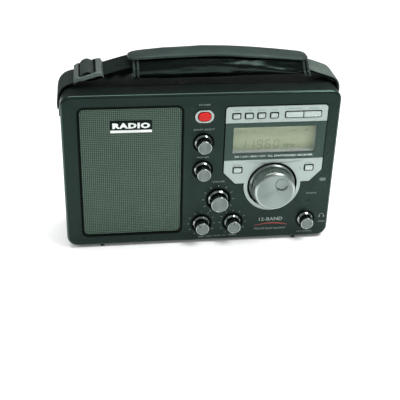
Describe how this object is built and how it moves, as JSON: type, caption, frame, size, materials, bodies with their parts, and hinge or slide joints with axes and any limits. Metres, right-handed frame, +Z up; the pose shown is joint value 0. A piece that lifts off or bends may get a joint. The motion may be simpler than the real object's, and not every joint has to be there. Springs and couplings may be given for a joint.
{
  "type": "shortwave receiver",
  "caption": "Portable shortwave receiver: black case, perforated grille, display, silver trim, turning knobs, press keys, carrying strap and folded telescopic whip.",
  "frame": {"origin": "on the table, under the middle of the overall box", "axes": "+X right for someone facing the front, +Y from front to back, +Z up"},
  "size_m": [0.304, 0.094, 0.219],
  "materials": {
    "case_plastic": "moulded satin black with a green cast",
    "grille_metal": "perforated sheet, satin grey-green",
    "badge_plate": "gloss black with a pale bar",
    "pressed_steel": "black paint",
    "cone_paper": "pressed paper pulp",
    "magnet": "sintered ferrite",
    "silver_trim": "silver paint on plastic",
    "polished_trim": "polished silver",
    "dark_bezel": "smoked gloss plastic",
    "clear_lens": "clear acrylic",
    "lcd": "reflective liquid crystal",
    "display_holder": "moulded pale grey",
    "circuit_board": "solder mask",
    "black_plastic": "moulded",
    "plated_steel": "zinc plated",
    "ribbon": "flat cable",
    "ferrite": "sintered",
    "copper_wire": "enamelled copper winding",
    "cell_jacket": "shrink sleeve on a metal can",
    "foot_rubber": "matt",
    "nickel_socket": "nickel plated",
    "red_key": "gloss red",
    "silver_key": "satin silver",
    "knob_metal": "spun silver face on a moulded knob",
    "chromed_tube": "bright chrome",
    "webbing": "ribbed nylon webbing",
    "grip_leather": "gloss black imitation leather",
    "buckle_plastic": "satin moulded"
  },
  "bodies": {
    "case": {"front_case": "case_plastic", "rear_case": "case_plastic", "speaker_grille": "grille_metal", "grille_badge": "badge_plate", "speaker_frame": "pressed_steel", "speaker_cone": "cone_paper", "speaker_magnet": "magnet", "key_panel": "silver_trim", "tuning_panel": "silver_trim", "power_bezel": "polished_trim", "display_bezel": "dark_bezel", "display_lens": "clear_lens", "display_panel": "lcd", "display_holder": "display_holder", "control_board": "circuit_board", "main_board": "circuit_board", "jack_board": "circuit_board", "key_switches": "black_plastic", "rotary_controls": "plated_steel", "rf_shields": "plated_steel", "ribbon_cable": "ribbon", "ferrite_rod": "ferrite", "ferrite_coils": "copper_wire", "battery_cells": "cell_jacket", "battery_contacts": "plated_steel", "case_screws": "plated_steel", "board_screws": "plated_steel", "strap_screws": "plated_steel", "rubber_feet": "foot_rubber", "antenna_jacks": "nickel_socket", "line_out_jacks": "nickel_socket", "headphone_jack": "black_plastic", "power_jack": "black_plastic", "sensor_window": "dark_bezel"},
    "power_button": {"power_button": "red_key"},
    "key_1": {"key_1": "silver_key"},
    "key_2": {"key_2": "silver_key"},
    "key_3": {"key_3": "silver_key"},
    "key_4": {"key_4": "silver_key"},
    "wide_key_left": {"wide_key_left": "silver_key"},
    "wide_key_right": {"wide_key_right": "silver_key"},
    "lower_key_left": {"lower_key_left": "silver_key"},
    "lower_key_right": {"lower_key_right": "silver_key"},
    "band_knob": {"band_knob": "knob_metal"},
    "bandwidth_knob": {"bandwidth_knob": "knob_metal"},
    "volume_knob": {"volume_knob": "knob_metal"},
    "bass_knob": {"bass_knob": "knob_metal"},
    "treble_knob": {"treble_knob": "knob_metal"},
    "fine_knob": {"fine_knob": "knob_metal"},
    "tuning_knob": {"tuning_knob": "knob_metal"},
    "battery_cover": {"battery_cover": "case_plastic"},
    "antenna_turret": {"antenna_turret": "black_plastic"},
    "antenna_tube_1": {"antenna_tube_1": "chromed_tube"},
    "antenna_tube_2": {"antenna_tube_2": "chromed_tube"},
    "antenna_tube_3": {"antenna_tube_3": "chromed_tube"},
    "antenna_tube_4": {"antenna_tube_4": "chromed_tube"},
    "strap": {"strap_webbing": "webbing", "strap_grip": "grip_leather", "strap_buckle": "buckle_plastic", "strap_lugs": "black_plastic"}
  },
  "joints": [
    {"name": "power_button_press", "type": "slide", "parent": "case", "child": "power_button", "axis": [0, 1, 0], "range_m": [0, 0.0015], "stiffness_N_per_m": 350},
    {"name": "key_1_press", "type": "slide", "parent": "case", "child": "key_1", "axis": [0, 1, 0], "range_m": [0, 0.0015], "stiffness_N_per_m": 350},
    {"name": "key_2_press", "type": "slide", "parent": "case", "child": "key_2", "axis": [0, 1, 0], "range_m": [0, 0.0015], "stiffness_N_per_m": 350},
    {"name": "key_3_press", "type": "slide", "parent": "case", "child": "key_3", "axis": [0, 1, 0], "range_m": [0, 0.0015], "stiffness_N_per_m": 350},
    {"name": "key_4_press", "type": "slide", "parent": "case", "child": "key_4", "axis": [0, 1, 0], "range_m": [0, 0.0015], "stiffness_N_per_m": 350},
    {"name": "wide_key_left_press", "type": "slide", "parent": "case", "child": "wide_key_left", "axis": [0, 1, 0], "range_m": [0, 0.0015], "stiffness_N_per_m": 350},
    {"name": "wide_key_right_press", "type": "slide", "parent": "case", "child": "wide_key_right", "axis": [0, 1, 0], "range_m": [0, 0.0015], "stiffness_N_per_m": 350},
    {"name": "lower_key_left_press", "type": "slide", "parent": "case", "child": "lower_key_left", "axis": [0, 1, 0], "range_m": [0, 0.0015], "stiffness_N_per_m": 350},
    {"name": "lower_key_right_press", "type": "slide", "parent": "case", "child": "lower_key_right", "axis": [0, 1, 0], "range_m": [0, 0.0015], "stiffness_N_per_m": 350},
    {"name": "band_turn", "type": "hinge", "parent": "case", "child": "band_knob", "pos_m": [0.0012, -0.029, 0.1265], "axis": [0, 1, 0], "continuous": true},
    {"name": "bandwidth_turn", "type": "hinge", "parent": "case", "child": "bandwidth_knob", "pos_m": [0.0012, -0.029, 0.094], "axis": [0, 1, 0], "continuous": true},
    {"name": "volume_turn", "type": "hinge", "parent": "case", "child": "volume_knob", "pos_m": [0.0197, -0.029, 0.0564], "axis": [0, 1, 0], "range_deg": [0, 300]},
    {"name": "bass_turn", "type": "hinge", "parent": "case", "child": "bass_knob", "pos_m": [0.0015, -0.029, 0.0259], "axis": [0, 1, 0], "range_deg": [-110, 190]},
    {"name": "treble_turn", "type": "hinge", "parent": "case", "child": "treble_knob", "pos_m": [0.0371, -0.029, 0.0262], "axis": [0, 1, 0], "range_deg": [-150, 150]},
    {"name": "fine_turn", "type": "hinge", "parent": "case", "child": "fine_knob", "pos_m": [0.1209, -0.029, 0.0262], "axis": [0, 1, 0], "continuous": true},
    {"name": "tuning_turn", "type": "hinge", "parent": "case", "child": "tuning_knob", "pos_m": [0.0792, -0.029, 0.0726], "axis": [0, 1, 0], "continuous": true},
    {"name": "battery_cover_off", "type": "slide", "parent": "case", "child": "battery_cover", "axis": [0, 1, 0], "range_m": [0, 0.03]},
    {"name": "antenna_swivel", "type": "hinge", "parent": "case", "child": "antenna_turret", "pos_m": [0.125, 0.041, 0.165], "axis": [0, 0, -1], "range_deg": [0, 180]},
    {"name": "antenna_tilt", "type": "hinge", "parent": "antenna_turret", "child": "antenna_tube_1", "pos_m": [0.125, 0.041, 0.172], "axis": [0, 1, 0], "range_deg": [0, 90]},
    {"name": "antenna_slide_1", "type": "slide", "parent": "antenna_tube_1", "child": "antenna_tube_2", "axis": [-1, 0, 0], "range_m": [0, 0.2]},
    {"name": "antenna_slide_2", "type": "slide", "parent": "antenna_tube_2", "child": "antenna_tube_3", "axis": [-1, 0, 0], "range_m": [0, 0.2]},
    {"name": "antenna_slide_3", "type": "slide", "parent": "antenna_tube_3", "child": "antenna_tube_4", "axis": [-1, 0, 0], "range_m": [0, 0.2]},
    {"name": "strap_swing", "type": "hinge", "parent": "case", "child": "strap", "pos_m": [0, 0.012, 0.158], "axis": [1, 0, 0], "range_deg": [-6, 6]}
  ]
}
